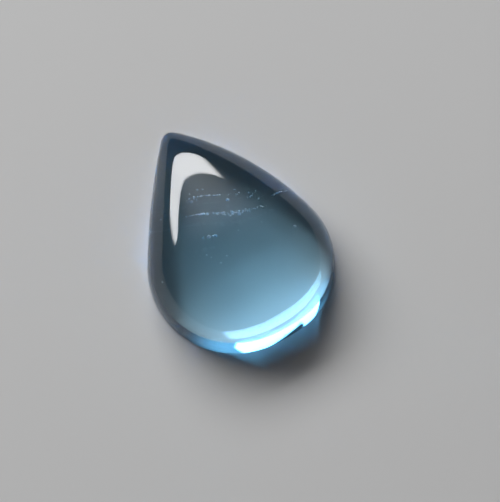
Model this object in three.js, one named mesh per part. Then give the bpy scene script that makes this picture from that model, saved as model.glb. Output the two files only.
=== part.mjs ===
// A blue topaz cut and polished as a pear-shaped cabochon: a smooth dome over a flat base.
// Millimetres, +Z up. The base lies on z = 0, and +Y runs from the rounded heel to the pointed tip.
// The origin is at the middle of the base's box.

import * as THREE from 'three';
import { ParametricGeometry } from 'three/addons/geometries/ParametricGeometry.js';
import { mergeVertices } from 'three/addons/utils/BufferGeometryUtils.js';

// Driving dimensions
const LENGTH = 18.0; // heel to tip
const DOME_HEIGHT = 5.0; // base to the top of the dome
const HEEL_RADIUS = 14.0; // shallow arc across the blunt end
const TIP_RADIUS = 1.05; // rounding of the point

// The stone is cut by hand, so its left flank is straighter than its right one
const RIGHT_SIDE = { halfWidth: 6.9, shoulderRadius: 6.0, flankRadius: 21.0 };
const LEFT_SIDE = { halfWidth: 7.1, shoulderRadius: 6.55, flankRadius: 52.0 };

// Fullness of the dome
const FALL_EXPONENT = 2.4; // fall to the rim: 2 is an ellipse, more is steeper at the rim
const RIDGE_EXPONENT = 0.5; // ridge from the top to the tip: 0 stays level, 1 sinks in step with the width
const RIDGE_SHIFT = 0.14; // how far left the top and the ridge lie, as a share of half the width

// Fineness of the facets
const CHORD_ERROR = 0.004; // largest gap between the rim's arcs and its facets
const DOME_RINGS = 24;

// Finish
const BODY_COLOUR = 0x7fb4c8;
const POLISH_ROUGHNESS = 0.05;
const BODY_OPACITY = 0.5;

// Middle line of the outline, placed so that the two half widths reach equally far from the origin
const AXIS_X = (LEFT_SIDE.halfWidth - RIGHT_SIDE.halfWidth) / 2;
const HEEL_Y = -LENGTH / 2;

// Centre of an arc that holds two smaller arcs inside it, touching both, on the far side of the middle line
function centreAround(first, second, radius) {
  const toFirst = radius - first.radius;
  const toSecond = radius - second.radius;
  const span = second.centre.clone().sub(first.centre);
  const distance = span.length();
  const along = span.divideScalar(distance);
  const inward = new THREE.Vector2(along.y, -along.x);
  if (inward.x > 0) inward.negate();
  const reach = (toFirst ** 2 - toSecond ** 2 + distance ** 2) / (2 * distance);
  const depth = Math.sqrt(toFirst ** 2 - reach ** 2);
  return first.centre.clone().addScaledVector(along, reach).addScaledVector(inward, depth);
}

// Direction from a large arc's centre through a smaller one inside it, which is where the two meet
function meetingAngle(outer, inner) {
  return Math.atan2(inner.centre.y - outer.centre.y, inner.centre.x - outer.centre.x);
}

// One side of the outline as four tangent arcs from heel to tip.
// Centres are (distance from the middle line, distance from the heel).
function sideArcs({ halfWidth, shoulderRadius, flankRadius }) {
  const heel = { radius: HEEL_RADIUS, centre: new THREE.Vector2(0, HEEL_RADIUS) };
  const tip = { radius: TIP_RADIUS, centre: new THREE.Vector2(0, LENGTH - TIP_RADIUS) };
  const shoulder = { radius: shoulderRadius, centre: new THREE.Vector2(halfWidth - shoulderRadius, 0) };
  shoulder.centre.y = HEEL_RADIUS - Math.sqrt((HEEL_RADIUS - shoulderRadius) ** 2 - shoulder.centre.x ** 2);
  const flank = { radius: flankRadius, centre: centreAround(shoulder, tip, flankRadius) };
  const turns = [
    -Math.PI / 2,
    meetingAngle(heel, shoulder),
    meetingAngle(flank, shoulder),
    meetingAngle(flank, tip),
    Math.PI / 2,
  ];
  return [heel, shoulder, flank, tip].map((arc, i) => ({ ...arc, start: turns[i], end: turns[i + 1] }));
}

// Distance from the middle line to the rim, at a distance from the heel
function halfWidthAt(arcs, fromHeel) {
  const reaches = ({ centre, radius, end }) => fromHeel <= centre.y + radius * Math.sin(end);
  const arc = arcs.find(reaches) ?? arcs.at(-1);
  const rise = fromHeel - arc.centre.y;
  return arc.centre.x + Math.sqrt(Math.max(arc.radius ** 2 - rise ** 2, 0));
}

// Points along an arc, finer on tight arcs, without its last point, where the next arc starts
function arcPoints(centreX, centreY, radius, start, end) {
  const step = 2 * Math.acos(1 - CHORD_ERROR / radius);
  const pieces = Math.ceil(Math.abs(end - start) / step);
  return new THREE.ArcCurve(centreX, centreY, radius, start, end).getPoints(pieces).slice(0, -1);
}

const rightArcs = sideArcs(RIGHT_SIDE);
const leftArcs = sideArcs(LEFT_SIDE);

// Rim of the base, counter-clockwise from the middle of the heel
const rim = [
  ...rightArcs.flatMap(({ centre, radius, start, end }) => {
    return arcPoints(AXIS_X + centre.x, HEEL_Y + centre.y, radius, start, end);
  }),
  ...leftArcs.toReversed().flatMap(({ centre, radius, start, end }) => {
    return arcPoints(AXIS_X - centre.x, HEEL_Y + centre.y, radius, Math.PI - end, Math.PI - start);
  }),
];

// Mean half width at a distance from the heel
function meanHalfWidth(fromHeel) {
  return (halfWidthAt(rightArcs, fromHeel) + halfWidthAt(leftArcs, fromHeel)) / 2;
}

// The dome's top stands over the widest place, halfway between the two shoulders
const TOP_FROM_HEEL = (rightArcs[1].centre.y + leftArcs[1].centre.y) / 2;
const WIDEST = meanHalfWidth(TOP_FROM_HEEL);
const DOME_TOP = new THREE.Vector2(AXIS_X - RIDGE_SHIFT * WIDEST, HEEL_Y + TOP_FROM_HEEL);

// Height left at a share of the way from the ridge or the top to the rim
function fall(share) {
  return (1 - Math.min(share, 1) ** FALL_EXPONENT) ** (1 / FALL_EXPONENT);
}

// Height of the dome over a point that lies at a share of the way from the top to the rim.
// On the heel's side of the top every contour is the rim drawn smaller about the top.
// On the tip's side a ridge runs to the tip, and the dome falls from it to both flanks.
function domeHeight(x, y, reach) {
  const fromHeel = y - HEEL_Y;
  if (fromHeel < TOP_FROM_HEEL) return DOME_HEIGHT * fall(reach);
  const half = meanHalfWidth(fromHeel);
  const shift = RIDGE_SHIFT * half;
  const fromRidge = x - AXIS_X + shift;
  const toRight = halfWidthAt(rightArcs, fromHeel) + shift;
  const toLeft = halfWidthAt(leftArcs, fromHeel) - shift;
  const share = Math.abs(fromRidge) / (fromRidge > 0 ? toRight : toLeft);
  return DOME_HEIGHT * (half / WIDEST) ** RIDGE_EXPONENT * fall(share);
}

// The whole skin: the flat base from its middle out to the rim, and then rings up the dome to its top,
// closest together at the rim, where the dome is steepest
function skinPoint(u, v, target) {
  const edge = rim[Math.round(u * rim.length) % rim.length];
  const ring = Math.round(v * (DOME_RINGS + 1));
  const climb = (ring - 1) / DOME_RINGS;
  const reach = ring === 0 ? 0 : Math.cos(climb * (Math.PI / 2));
  const x = THREE.MathUtils.lerp(DOME_TOP.x, edge.x, reach);
  const y = THREE.MathUtils.lerp(DOME_TOP.y, edge.y, reach);
  target.set(x, y, ring > 1 ? domeHeight(x, y, reach) : 0);
}

// One closed skin with shared corners, without the empty triangles where the rings close
function closedSkin(patch) {
  patch.deleteAttribute('normal');
  patch.deleteAttribute('uv');
  const skin = mergeVertices(patch);
  const corners = skin.getIndex().array;
  const kept = [];
  for (let i = 0; i < corners.length; i += 3) {
    const [a, b, c] = corners.subarray(i, i + 3);
    if (a !== b && b !== c && c !== a) kept.push(a, b, c);
  }
  skin.setIndex(kept);
  skin.computeVertexNormals();
  return skin;
}

const polished = new THREE.MeshStandardMaterial({
  color: BODY_COLOUR,
  roughness: POLISH_ROUGHNESS,
  metalness: 0,
  transparent: true,
  opacity: BODY_OPACITY,
});

const surface = new ParametricGeometry(skinPoint, rim.length, DOME_RINGS + 1);
const topaz = new THREE.Mesh(closedSkin(surface), polished);
topaz.name = 'topaz';

const cabochon = new THREE.Group();
cabochon.add(topaz);

export default cabochon;
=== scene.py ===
"""Pear-shaped blue topaz cabochon: the polished stone, the marks inside it and a plain studio stage."""

import math
import random
from typing import NamedTuple

import bmesh
import bpy
import numpy as np
from bpy.props import FloatProperty, FloatVectorProperty, IntProperty, PointerProperty
from mathutils import Matrix, Quaternion, Vector


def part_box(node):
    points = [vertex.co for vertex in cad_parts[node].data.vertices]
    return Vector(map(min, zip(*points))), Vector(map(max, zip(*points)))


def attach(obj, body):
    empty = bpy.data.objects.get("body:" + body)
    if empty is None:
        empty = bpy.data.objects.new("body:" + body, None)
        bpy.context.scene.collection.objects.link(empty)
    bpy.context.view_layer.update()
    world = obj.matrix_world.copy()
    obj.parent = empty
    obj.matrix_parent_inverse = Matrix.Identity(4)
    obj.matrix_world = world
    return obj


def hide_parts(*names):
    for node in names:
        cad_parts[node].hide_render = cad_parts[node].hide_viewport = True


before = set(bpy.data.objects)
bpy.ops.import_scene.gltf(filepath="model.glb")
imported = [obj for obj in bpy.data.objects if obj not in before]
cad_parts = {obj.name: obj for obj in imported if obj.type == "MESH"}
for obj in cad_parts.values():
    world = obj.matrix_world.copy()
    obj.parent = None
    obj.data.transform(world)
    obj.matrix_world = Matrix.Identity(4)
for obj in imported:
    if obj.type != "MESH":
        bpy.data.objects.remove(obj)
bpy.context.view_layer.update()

bl_info = {
    "name": "Pear topaz cabochon",
    "version": (1, 0, 0),
    "blender": (4, 5, 0),
    "location": "View3D > Sidebar > Topaz",
    "description": "Cuts a pear-shaped blue topaz, grows the marks inside it and sets a plain studio stage",
    "category": "Object",
}

MM = 0.001
NODE = "topaz"
BODY = "root"

# The CAD box, kept before anything else is made
STONE_LOW, STONE_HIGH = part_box(NODE)
STONE_SIZE = STONE_HIGH - STONE_LOW

# Marks inside the stone, in millimetres.
# A veil is a healed crack full of pinpoints. Each row is a place on its line, its half thickness and
# half height there, and the number of pinpoints up to the next row
LONG_VEIL = (
    (-2.1, 1.8, 3.7, 0.01, 0.05, 14),
    (-1.3, 1.55, 3.7, 0.02, 0.1, 22),
    (-0.1, 0.9, 3.7, 0.05, 0.15, 30),
    (0.85, 0.4, 3.7, 0.09, 0.25, 36),
    (1.95, 0.0, 3.7, 0.07, 0.25, 10),
    (2.6, -0.1, 3.7, 0.04, 0.15, 8),
    (3.5, -0.4, 3.7, 0.02, 0.1, 0),
)
UPPER_VEIL = (
    (-1.6, 2.95, 3.6, 0.15, 0.1, 7),
    (-0.9, 2.75, 3.6, 0.06, 0.1, 14),
    (-0.3, 2.65, 3.6, 0.01, 0.05, 20),
    (0.85, 2.05, 3.6, 0.01, 0.05, 10),
    (2.15, 1.35, 3.6, 0.15, 0.2, 6),
    (3.15, 0.8, 3.6, 0.3, 0.2, 0),
)
WISP = (
    (-1.9, -0.15, 3.3, 0.05, 0.1, 9),
    (-0.85, -0.55, 3.3, 0.05, 0.1, 0),
)

# Single spots: place, radius and stretch along the veils
SPOTS = (
    (-1.05, 3.25, 3.6, 0.075, 1.0),
    (-0.4, 3.25, 3.6, 0.045, 2.5),
    (-0.05, 3.1, 3.6, 0.045, 2.5),
    (1.95, 1.9, 3.6, 0.045, 2.5),
    (1.15, 1.45, 3.6, 0.11, 1.3),
    (3.25, 1.1, 3.5, 0.06, 1.0),
    (2.65, 0.85, 3.6, 0.06, 1.0),
    (3.15, 0.45, 3.6, 0.06, 1.0),
    (-2.15, -1.45, 3.3, 0.07, 1.0),
    (-1.95, -1.75, 3.3, 0.05, 1.0),
    (-0.95, -2.2, 3.3, 0.05, 1.5),
    (-1.55, -2.45, 3.3, 0.045, 2.0),
    (0.7, -0.95, 3.3, 0.05, 1.0),
    (2.45, -1.15, 2.5, 0.045, 1.0),
    (4.35, -2.5, 2.5, 0.1, 1.5),
    (-3.1, 2.65, 1.5, 0.08, 1.0),
    (-5.2, -1.3, 1.5, 0.07, 1.0),
)

# A feather, which is a small open crack, at the right flank: its ends, its half height, and its sheet's
# ripple as a share of the bend, with the turns across and up in radians
FEATHER_START = (3.9, 0.3, 1.7)
FEATHER_END = (5.5, 0.1, 1.7)
FEATHER_HEIGHT = 0.4
FEATHER_RIPPLE = 0.4
FEATHER_WAVES = Vector((5.0, 3.0))
FEATHER_ALPHA = 0.9

# Patterns of the polish and of the marks. A scale is in repeats per metre, and a pair of limits is where a
# pattern begins and where it is full
CLOUD_SCALE = 120.0
PATCH_SCALE = 260.0
PATCH_LIMITS = (0.45, 0.75)
HAIRLINE_SCALE = (250.0, 6000.0, 6000.0)
HAIRLINE_TURN = (0.3, 0.2, 0.6)
HAIRLINE_LIMITS = (0.66, 0.74)
WAVE_SCALE = 300.0
RIPPLE_SCALE = 1400.0
RIPPLE_SHARE = 0.15
MARK_SCALE = 1500.0
WHITE_LIMITS = (0.35, 0.6)
FEATHER_LIMITS = (0.42, 0.62)
PINPOINT_SPREAD = 0.4


def length_property(name, description, default):
    """A size in metres that a user may change."""
    return FloatProperty(
        name=name, description=description, default=default, min=0.0, unit="LENGTH", precision=5
    )


def number_property(name, description, default):
    """A plain number that a user may change."""
    return FloatProperty(name=name, description=description, default=default)


def angle_property(name, description, degrees):
    """An angle that a user may change."""
    return FloatProperty(name=name, description=description, default=math.radians(degrees), unit="ROTATION")


def colour_property(name, description, default):
    """A colour that a user may change."""
    return FloatVectorProperty(
        name=name, description=description, default=default, size=3, min=0.0, max=1.0, subtype="COLOR"
    )


class TopazShape(bpy.types.PropertyGroup):
    """Sizes of the cut stone"""

    length: length_property("Length", "Heel to tip", STONE_SIZE.y)
    width: length_property("Width", "Flank to flank at the widest place", STONE_SIZE.x)
    height: length_property("Height", "Base to the top of the dome", STONE_SIZE.z)
    axis_offset: length_property("Axis offset", "From the box's middle to the middle line", 0.1 * MM)
    heel_radius: length_property("Heel radius", "Arc across the blunt end", 14.0 * MM)
    tip_radius: length_property("Tip radius", "Rounding of the point", 1.05 * MM)
    right_shoulder: length_property("Right shoulder", "Arc of the right shoulder", 6.0 * MM)
    right_flank: length_property("Right flank", "Arc of the right flank", 21.0 * MM)
    left_shoulder: length_property("Left shoulder", "Arc of the left shoulder", 6.55 * MM)
    left_flank: length_property("Left flank", "Arc of the straighter left flank", 52.0 * MM)
    fall_exponent: number_property("Fall exponent", "2 is an ellipse, more is steeper", 2.4)
    ridge_exponent: number_property("Ridge exponent", "0 is level, 1 sinks with the width", 0.5)
    ridge_shift: number_property("Ridge shift", "Towards the left, as a share of half the width", 0.14)
    chord_error: length_property("Chord error", "Largest gap between the arcs and the mesh", 0.0003 * MM)
    rings: IntProperty(name="Rings", description="Mesh rings from the rim to the top", default=96, min=8)


class TopazFinish(bpy.types.PropertyGroup):
    """Colour and polish of the stone"""

    tint: colour_property("Tint", "Colour that the crystal lets through", (0.26, 0.74, 0.95))
    tint_density: number_property("Tint density", "Absorption per metre of crystal", 140.0)
    refractive_index: number_property("Refractive index", "Of topaz", 1.62)
    polish: number_property("Polish", "Roughness of the cleanest polish", 0.0)
    haze: number_property("Haze", "Roughness added where the polish is worn", 0.02)
    waviness: length_property("Waviness", "Height of the hand polish's waves", 0.004 * MM)


class TopazMarks(bpy.types.PropertyGroup):
    """Veils, spots and the feather inside the stone"""

    seed: IntProperty(name="Seed", description="Another number scatters the pinpoints anew", default=7)
    pinpoint_radius: length_property("Pinpoint radius", "Middling pinpoint of a veil", 0.05 * MM)
    spot_turn: angle_property("Spot turn", "Direction that the stretched spots lie in", -29.3)
    white: colour_property("White", "Whitest marks", (1.0, 1.0, 1.0))
    blue: colour_property("Blue", "Bluest marks", (0.75, 0.9, 1.0))
    feather_bend: length_property("Feather bend", "Bulge of the feather's sheet", 0.12 * MM)


class TopazStage(bpy.types.PropertyGroup):
    """Floor, light and camera"""

    floor_colour: colour_property("Floor", "Pale floor", (0.7, 0.7, 0.7))
    floor_radius: length_property("Floor radius", "Reach of the floor", 1.6)
    floor_gap: length_property("Air gap", "Film of air under the base", 0.05 * MM)
    window_width: length_property("Window width", "Width of the soft light", 0.8)
    window_height: length_property("Window height", "Height of the soft light", 0.19)
    window_distance: length_property("Window distance", "Stone to light", 0.6)
    window_azimuth: angle_property("Window azimuth", "From the tip towards the left", 4.0)
    window_elevation: angle_property("Window elevation", "Above the floor", 33.5)
    window_roll: angle_property("Window roll", "Turn about the light's own axis", -3.0)
    window_radiance: number_property("Window radiance", "Brightness of the soft light", 10.5)
    window_softness: number_property("Window softness", "Share of it that fades out", 0.2)
    wall_width: length_property("Wall width", "Width of the dim light", 1.1)
    wall_height: length_property("Wall height", "Height of the dim light", 0.8)
    wall_distance: length_property("Wall distance", "Stone to the dim light", 0.9)
    wall_azimuth: angle_property("Wall azimuth", "From the tip towards the left", -14.0)
    wall_elevation: angle_property("Wall elevation", "Above the floor", 45.0)
    wall_radiance: number_property("Wall radiance", "Brightness of the dim light", 1.3)
    room_light: number_property("Room light", "Even light from all around", 0.05)
    camera_azimuth: angle_property("Camera azimuth", "0 looks along the stone to its tip", -29.3)
    camera_elevation: angle_property("Camera elevation", "Above the floor", 76.0)
    camera_distance: length_property("Camera distance", "From the point looked at", 0.22)
    frame_height: length_property("Frame height", "Span that fills the picture's height", 37.7 * MM)
    aim: FloatVectorProperty(
        name="Aim", description="Point on the base that the camera looks at",
        default=(1.2 * MM, -1.85 * MM, 0.0), size=3, subtype="TRANSLATION", unit="LENGTH", precision=5,
    )


class Value:
    """A shader value: arithmetic on it adds Math nodes to its shader."""

    def __init__(self, shader, socket):
        self.shader = shader
        self.socket = socket

    def math(self, operation, first, second):
        """Result of one Math node on two values or numbers."""
        node = self.shader.add("ShaderNodeMath", {"operation": operation}, {0: first, 1: second})
        return Value(self.shader, node.outputs["Value"])

    def __add__(self, other):
        return self.math("ADD", self, other)

    __radd__ = __add__

    def __sub__(self, other):
        return self.math("SUBTRACT", self, other)

    def __rsub__(self, other):
        return self.math("SUBTRACT", other, self)

    def __mul__(self, other):
        return self.math("MULTIPLY", self, other)

    __rmul__ = __mul__


class Shader:
    """Node tree of a material, a light or a world."""

    def __init__(self, owner):
        owner.use_nodes = True
        self.tree = owner.node_tree

    def part(self, name):
        """A node that the tree starts with."""
        return self.tree.nodes[name]

    def feed(self, node, sockets):
        """Sets a node's sockets to numbers, or links them to values."""
        for key, value in sockets.items():
            if isinstance(value, Value):
                self.tree.links.new(value.socket, node.inputs[key])
            else:
                node.inputs[key].default_value = value

    def add(self, node_type, settings=None, sockets=None):
        """A new node of any type: its settings first, then its sockets."""
        node = self.tree.nodes.new(node_type)
        for key, value in (settings or {}).items():
            setattr(node, key, value)
        self.feed(node, sockets or {})
        return node

    def value(self, node, output):
        """One output of a node as a value."""
        return Value(self, node.outputs[output])

    def place(self, scale=(1.0, 1.0, 1.0), turn=(0.0, 0.0, 0.0)):
        """The stone's own coordinates in metres, turned and then scaled."""
        own = self.value(self.add("ShaderNodeTexCoord"), "Object")
        mapped = self.add("ShaderNodeMapping", {}, {"Vector": own, "Rotation": turn, "Scale": scale})
        return self.value(mapped, "Vector")

    def noise(self, place, scale, detail=2.0):
        """Smooth noise from 0 to 1."""
        node = self.add("ShaderNodeTexNoise", {}, {"Vector": place, "Scale": scale, "Detail": detail})
        return self.value(node, "Fac")

    def between(self, value, low, high):
        """Smooth climb from 0 at low to 1 at high."""
        limits = {"Value": value, "From Min": low, "From Max": high}
        node = self.add("ShaderNodeMapRange", {"interpolation_type": "SMOOTHSTEP"}, limits)
        return self.value(node, "Result")

    def mix(self, share, first, second):
        """Colour that goes from the first to the second."""
        node = self.add("ShaderNodeMix", {"data_type": "RGBA"}, {"Factor": share})
        for socket, colour in zip([s for s in node.inputs if s.type == "RGBA"], (first, second)):
            socket.default_value = (*colour, 1.0)
        return Value(self, next(s for s in node.outputs if s.type == "RGBA"))


class Arc(NamedTuple):
    """One arc of a side's outline, in metres across from the middle line and along from the heel."""

    across: float
    along: float
    radius: float
    start: float
    end: float


def centre_around(first, second, radius):
    """Centre of an arc that holds two smaller arcs (across, along, radius) inside it, touching both."""
    centre = Vector(first[:2])
    span = Vector(second[:2]) - centre
    distance = span.length
    along = span / distance
    inward = Vector((-along.y, along.x))
    if inward.x > 0.0:
        inward = -inward
    to_first, to_second = radius - first[2], radius - second[2]
    reach = (to_first ** 2 - to_second ** 2 + distance ** 2) / (2.0 * distance)
    return centre + along * reach + inward * math.sqrt(to_first ** 2 - reach ** 2)


def side_arcs(shape, half_width, shoulder_radius, flank_radius):
    """One side of the outline as four tangent arcs from heel to tip."""
    offset = half_width - shoulder_radius
    rise = shape.heel_radius - math.sqrt((shape.heel_radius - shoulder_radius) ** 2 - offset ** 2)
    heel = (0.0, shape.heel_radius, shape.heel_radius)
    shoulder = (offset, rise, shoulder_radius)
    tip = (0.0, shape.length - shape.tip_radius, shape.tip_radius)
    flank = (*centre_around(shoulder, tip, flank_radius), flank_radius)

    def meeting(outer, inner):
        return math.atan2(inner[1] - outer[1], inner[0] - outer[0])

    quarter = math.pi / 2.0
    turns = (-quarter, meeting(heel, shoulder), meeting(flank, shoulder), meeting(flank, tip), quarter)
    return [Arc(*arc, *turns[i:i + 2]) for i, arc in enumerate((heel, shoulder, flank, tip))]


class Outline:
    """The pear outline and the dome over it, in the stone's frame."""

    def __init__(self, shape):
        half = shape.width / 2.0
        self.shape = shape
        self.heel = -shape.length / 2.0
        self.right = side_arcs(shape, half - shape.axis_offset, shape.right_shoulder, shape.right_flank)
        self.left = side_arcs(shape, half + shape.axis_offset, shape.left_shoulder, shape.left_flank)
        self.top_along = (self.right[1].along + self.left[1].along) / 2.0
        self.widest = self.mean_half_width(np.array([self.top_along]))[0]
        ridge = shape.axis_offset - shape.ridge_shift * self.widest
        self.top = np.array([ridge, self.heel + self.top_along])

    @staticmethod
    def half_width(arcs, along):
        """Distance from the middle line to the rim."""
        ends = [arc.along + arc.radius * math.sin(arc.end) for arc in arcs]
        squares = [np.maximum(arc.radius ** 2 - (along - arc.along) ** 2, 0.0) for arc in arcs]
        reach = [arc.across + np.sqrt(square) for arc, square in zip(arcs, squares)]
        return np.select([along <= end for end in ends], reach, reach[-1])

    def mean_half_width(self, along):
        """Half of the stone's width."""
        return (self.half_width(self.right, along) + self.half_width(self.left, along)) / 2.0

    def rim(self):
        """Points of the base's rim, counter-clockwise from the middle of the heel."""
        sides = [(1.0, arc) for arc in self.right] + [(-1.0, arc) for arc in reversed(self.left)]
        points = []
        for sign, arc in sides:
            step = 2.0 * math.acos(1.0 - self.shape.chord_error / arc.radius)
            pieces = math.ceil((arc.end - arc.start) / step)
            turn = np.linspace(arc.start, arc.end, pieces + 1)[::int(sign)][:-1]
            x = self.shape.axis_offset + sign * (arc.across + arc.radius * np.cos(turn))
            y = self.heel + arc.along + arc.radius * np.sin(turn)
            points.append(np.stack([x, y], axis=-1))
        return np.concatenate(points)

    def fall(self, share):
        """Height left at a share of the way from the ridge or the top to the rim."""
        exponent = self.shape.fall_exponent
        return np.maximum(1.0 - share ** exponent, 0.0) ** (1.0 / exponent)

    def dome(self, points, reach):
        """Height of the dome over one ring of points, which is the rim drawn smaller about the top."""
        along = points[:, 1] - self.heel
        half = self.mean_half_width(along)
        shift = self.shape.ridge_shift * half
        from_ridge = points[:, 0] - self.shape.axis_offset + shift
        right = self.half_width(self.right, along) + shift
        left = self.half_width(self.left, along) - shift
        share = np.abs(from_ridge) / np.maximum(np.where(from_ridge > 0.0, right, left), 1e-9)
        ridge = self.fall(np.minimum(share, 1.0)) * (half / self.widest) ** self.shape.ridge_exponent
        return self.shape.height * np.where(along < self.top_along, self.fall(reach), ridge)


def add_piece(name, mesh, material):
    """Links a finished mesh as a piece of the stone that rides on its body."""
    mesh.materials.append(material)
    piece = bpy.data.objects.new(name, mesh)
    bpy.context.scene.collection.objects.link(piece)
    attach(piece, BODY)
    return piece


def stone_mesh(shape):
    """The polished stone: a fine smooth dome and a flat base that meet in a crisp rim."""
    outline = Outline(shape)
    rim = outline.rim()
    count = len(rim)
    rings = []
    for climb in np.arange(shape.rings) / shape.rings:
        reach = math.cos(climb * math.pi / 2.0)
        flat = outline.top + (rim - outline.top) * reach
        height = outline.dome(flat, reach) if climb > 0.0 else np.zeros(count)
        rings.append(np.column_stack([flat, height]))
    top = np.append(outline.top, shape.height)
    points = np.vstack([*rings, top])
    step = np.arange(count)
    after = (step + 1) % count
    faces = [tuple(step[::-1])]
    for ring in range(shape.rings - 1):
        low, high = ring * count, (ring + 1) * count
        faces += np.stack([low + step, low + after, high + after, high + step], axis=-1).tolist()
    last = (shape.rings - 1) * count
    faces += [(last + i, last + j, len(points) - 1) for i, j in zip(step, after)]
    mesh = bpy.data.meshes.new("topaz_stone")
    mesh.from_pydata(points.tolist(), [], faces)
    mesh.shade_smooth()
    mesh.polygons[0].use_smooth = False
    for edge in mesh.edges:
        edge.use_edge_sharp = max(edge.vertices) < count
    return mesh


def topaz_material(finish):
    """Clear pale blue crystal under a hand polish with faint waves, worn patches and hairlines."""
    material = bpy.data.materials.new("polished_topaz")
    shader = Shader(material)
    place = shader.place()
    patches = shader.between(shader.noise(place, PATCH_SCALE, 3.0), *PATCH_LIMITS)
    streaks = shader.noise(shader.place(HAIRLINE_SCALE, HAIRLINE_TURN), 1.0, 1.0)
    hairlines = shader.between(streaks, *HAIRLINE_LIMITS)
    ripples = shader.noise(place, RIPPLE_SCALE, 1.0)
    waves = shader.noise(place, WAVE_SCALE, 1.0) + RIPPLE_SHARE * ripples
    bump = shader.add("ShaderNodeBump", {}, {"Height": waves, "Distance": finish.waviness, "Strength": 1.0})
    shader.feed(shader.part("Principled BSDF"), {
        "Base Color": shader.mix(shader.noise(place, CLOUD_SCALE), (0.97, 0.99, 1.0), (1.0, 1.0, 1.0)),
        "Roughness": finish.polish + finish.haze * (0.5 * patches + 0.5 * hairlines),
        "IOR": finish.refractive_index,
        "Transmission Weight": 1.0,
        "Normal": shader.value(bump, "Normal"),
    })
    absorption = shader.add("ShaderNodeVolumeAbsorption", {}, {
        "Color": (*finish.tint, 1.0),
        "Density": finish.tint_density,
    })
    shader.feed(shader.part("Material Output"), {"Volume": shader.value(absorption, "Volume")})
    return material


class TOPAZ_OT_cut_stone(bpy.types.Operator):
    """Cuts and polishes the stone in place of the CAD solid"""

    bl_idname = "topaz.cut_stone"
    bl_label = "Cut the stone"

    def execute(self, context):
        scene = context.scene
        stone = add_piece("topaz_stone", stone_mesh(scene.topaz_shape), topaz_material(scene.topaz_finish))
        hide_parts(NODE)
        return {"FINISHED"}


def mark_material(name, marks):
    """Pale frosted marks, some whiter than others; returns its shader and a patchy value too."""
    material = bpy.data.materials.new(name)
    shader = Shader(material)
    patches = shader.noise(shader.place(), MARK_SCALE, 3.0)
    shader.feed(shader.part("Principled BSDF"), {
        "Base Color": shader.mix(shader.between(patches, *WHITE_LIMITS), marks.blue, marks.white),
        "Roughness": 0.25 + 0.4 * patches,
    })
    return material, shader, patches


def veil_mesh(marks):
    """Every veil's pinpoints and the single spots, as small rounded bodies."""
    rng = random.Random(marks.seed)
    shape = bmesh.new()

    def add_spot(place, radius, stretch=1.0):
        turned = Matrix.Translation(place) @ Matrix.Rotation(marks.spot_turn, 4, "Z")
        matrix = turned @ Matrix.Diagonal((stretch, 1.0, 1.0, 1.0))
        bmesh.ops.create_icosphere(shape, subdivisions=1, radius=radius, matrix=matrix)

    for veil in (LONG_VEIL, UPPER_VEIL, WISP):
        for start, end in zip(veil, veil[1:]):
            side = Vector((start[1] - end[1], end[0] - start[0], 0.0)).normalized()
            for _ in range(start[5]):
                *place, thickness, height, _ = Vector(start).lerp(Vector(end), rng.random())
                rise = Vector((0.0, 0.0, rng.uniform(-height, height)))
                place = Vector(place) + side * rng.gauss(0.0, thickness) + rise
                add_spot(place * MM, marks.pinpoint_radius * rng.lognormvariate(0.0, PINPOINT_SPREAD))
    for *place, radius, stretch in SPOTS:
        add_spot(Vector(place) * MM, radius * MM, stretch)
    for face in shape.faces:
        face.smooth = True
    mesh = bpy.data.meshes.new("topaz_veils")
    shape.to_mesh(mesh)
    shape.free()
    return mesh


def feather_mesh(marks):
    """A small leaf-shaped sheet that bulges to one side."""
    start, end = Vector(FEATHER_START) * MM, Vector(FEATHER_END) * MM
    side = Vector((start.y - end.y, end.x - start.x, 0.0)).normalized()
    shape = bmesh.new()
    bmesh.ops.create_grid(shape, x_segments=24, y_segments=12, size=1.0)
    for vertex in shape.verts:
        across, up = vertex.co.x, vertex.co.y
        half = FEATHER_HEIGHT * MM * math.sqrt(max(1.0 - across ** 2, 0.02))
        ripple = FEATHER_RIPPLE * math.sin(FEATHER_WAVES.dot(Vector((across, up))))
        bulge = marks.feather_bend * (math.cos(across * math.pi / 2.0) + ripple)
        vertex.co = start.lerp(end, (across + 1.0) / 2.0) + side * bulge + Vector((0.0, 0.0, half * up))
    mesh = bpy.data.meshes.new("topaz_feather")
    shape.to_mesh(mesh)
    shape.free()
    mesh.shade_smooth()
    return mesh


class TOPAZ_OT_grow_veils(bpy.types.Operator):
    """Grows the veils of pinpoints and the single spots inside the stone"""

    bl_idname = "topaz.grow_veils"
    bl_label = "Grow the veils"

    def execute(self, context):
        marks = context.scene.topaz_marks
        material, _, _ = mark_material("pale_pinpoints", marks)
        add_piece("topaz_veils", veil_mesh(marks), material)
        return {"FINISHED"}


class TOPAZ_OT_open_feather(bpy.types.Operator):
    """Opens the small feather at the right flank"""

    bl_idname = "topaz.open_feather"
    bl_label = "Open the feather"

    def execute(self, context):
        marks = context.scene.topaz_marks
        material, shader, patches = mark_material("feather", marks)
        coverage = FEATHER_ALPHA * shader.between(patches, *FEATHER_LIMITS)
        shader.feed(shader.part("Principled BSDF"), {"Alpha": coverage})
        add_piece("topaz_feather", feather_mesh(marks), material)
        return {"FINISHED"}


def aimed(location, target, roll=0.0):
    """Place of a light or camera that looks at a point, turned about its own axis."""
    turn = (target - location).to_track_quat("-Z", "Y") @ Quaternion((0.0, 0.0, 1.0), roll)
    return Matrix.LocRotScale(location, turn, None)


def compass(azimuth, elevation):
    """Unit direction: azimuth 0 points along +Y and turns towards -X."""
    level = math.cos(elevation)
    return Vector((-math.sin(azimuth) * level, math.cos(azimuth) * level, math.sin(elevation)))


def link_new(name, data, matrix):
    """A new object of the stage, in place."""
    thing = bpy.data.objects.new(name, data)
    thing.matrix_world = matrix
    bpy.context.scene.collection.objects.link(thing)
    return thing


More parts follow.
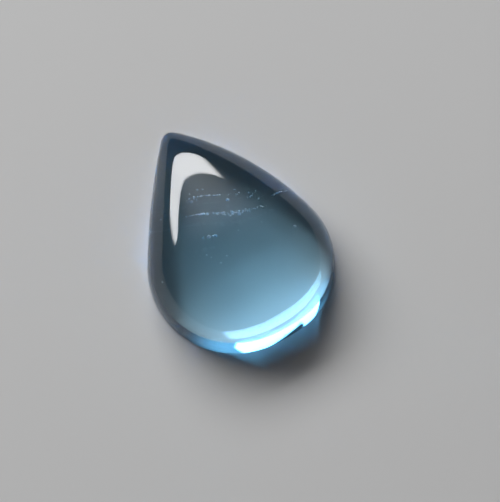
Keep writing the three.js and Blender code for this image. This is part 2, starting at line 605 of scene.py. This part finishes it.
def lay_floor(stage):
    """A plain pale round floor just under the stone."""
    mesh = bpy.data.meshes.new("floor")
    shape = bmesh.new()
    bmesh.ops.create_circle(shape, cap_ends=True, segments=96, radius=stage.floor_radius)
    shape.to_mesh(mesh)
    shape.free()
    material = bpy.data.materials.new("pale_floor")
    shader = Shader(material)
    shader.feed(shader.part("Principled BSDF"), {
        "Base Color": (*stage.floor_colour, 1.0),
        "Roughness": 0.8,
        "Specular IOR Level": 0.2,
    })
    mesh.materials.append(material)
    link_new("floor", mesh, Matrix.Translation((0.0, 0.0, -stage.floor_gap)))


def soft_panel(name, width, height, location, roll, radiance, softness):
    """A flat light that faces the stone and fades out towards its edges."""
    light = bpy.data.lights.new(name, "AREA")
    light.shape = "RECTANGLE"
    light.size = width
    light.size_y = height
    light.energy = radiance * math.pi * width * height
    shader = Shader(light)
    spot = shader.value(shader.add("ShaderNodeNewGeometry"), "Parametric")
    split = shader.add("ShaderNodeSeparateXYZ", {}, {"Vector": spot})
    fades = []
    for axis in "XY":
        offset = 2.0 * shader.value(split, axis) - 1.0
        from_middle = offset.math("MAXIMUM", offset, 0.0 - offset)
        fades.append(1.0 - shader.between(from_middle, 1.0 - softness, 1.0))
    glow = shader.mix(fades[0] * fades[1], (0.0, 0.0, 0.0), (1.0, 1.0, 1.0))
    shader.feed(shader.part("Emission"), {"Color": glow})
    link_new(name, light, aimed(location, Vector(), roll))


def hang_lights(stage):
    """A bright window low beyond the tip, and a dim broad wall above it and to its right."""
    window = compass(stage.window_azimuth, stage.window_elevation) * stage.window_distance
    soft_panel(
        "window", stage.window_width, stage.window_height, window, stage.window_roll,
        stage.window_radiance, stage.window_softness,
    )
    wall = compass(stage.wall_azimuth, stage.wall_elevation) * stage.wall_distance
    soft_panel("wall", stage.wall_width, stage.wall_height, wall, 0.0, stage.wall_radiance, 1.0)


def light_room(stage):
    """Even light from all around."""
    world = bpy.data.worlds.new("room")
    shader = Shader(world)
    shader.feed(shader.part("Background"), {"Color": (1.0, 1.0, 1.0, 1.0), "Strength": stage.room_light})
    bpy.context.scene.world = world


def set_camera(stage):
    """The camera at the photograph's viewing angle."""
    camera = bpy.data.cameras.new("camera")
    camera.sensor_width = 36.0
    camera.lens = camera.sensor_width * stage.camera_distance / stage.frame_height
    camera.clip_start = 0.005
    camera.clip_end = 10.0
    aim = Vector(stage.aim)
    back = -compass(stage.camera_azimuth, -stage.camera_elevation)
    location = aim + back * stage.camera_distance
    bpy.context.scene.camera = link_new("camera", camera, aimed(location, aim))


def let_light_through():
    """Light paths long and sharp enough for clear crystal, and plain colours."""
    scene = bpy.context.scene
    scene.view_settings.view_transform = "Standard"
    paths = scene.cycles
    paths.caustics_refractive = True
    paths.caustics_reflective = True
    paths.blur_glossy = 0.0
    paths.sample_clamp_indirect = 0.0
    paths.max_bounces = 16
    paths.transmission_bounces = 16
    paths.glossy_bounces = 8
    paths.diffuse_bounces = 6


class TOPAZ_OT_set_stage(bpy.types.Operator):
    """Lays the floor, hangs the light and sets the camera"""

    bl_idname = "topaz.set_stage"
    bl_label = "Set the stage"

    def execute(self, context):
        stage = context.scene.topaz_stage
        lay_floor(stage)
        hang_lights(stage)
        light_room(stage)
        set_camera(stage)
        let_light_through()
        return {"FINISHED"}


class VIEW3D_PT_topaz(bpy.types.Panel):
    """Pear topaz cabochon"""

    bl_label = "Pear topaz"
    bl_space_type = "VIEW_3D"
    bl_region_type = "UI"
    bl_category = "Topaz"

    def draw(self, context):
        for operator in OPERATORS:
            self.layout.operator(operator.bl_idname)
        for name in GROUPS:
            group = getattr(context.scene, name)
            column = self.layout.column()
            for key in group.__annotations__:
                column.prop(group, key)


GROUPS = {
    "topaz_shape": TopazShape,
    "topaz_finish": TopazFinish,
    "topaz_marks": TopazMarks,
    "topaz_stage": TopazStage,
}
OPERATORS = (TOPAZ_OT_cut_stone, TOPAZ_OT_grow_veils, TOPAZ_OT_open_feather, TOPAZ_OT_set_stage)
CLASSES = (*GROUPS.values(), *OPERATORS, VIEW3D_PT_topaz)


def register():
    """Registers the classes and puts the settings on the scene."""
    for cls in CLASSES:
        bpy.utils.register_class(cls)
    for name, group in GROUPS.items():
        setattr(bpy.types.Scene, name, PointerProperty(type=group))


def unregister():
    """Takes the settings off the scene and unregisters the classes."""
    for name in GROUPS:
        delattr(bpy.types.Scene, name)
    for cls in reversed(CLASSES):
        bpy.utils.unregister_class(cls)


def main():
    """Builds every piece and the stage."""
    register()
    bpy.ops.topaz.cut_stone()
    bpy.ops.topaz.grow_veils()
    bpy.ops.topaz.open_feather()
    bpy.ops.topaz.set_stage()


if __name__ == "__main__":
    main()
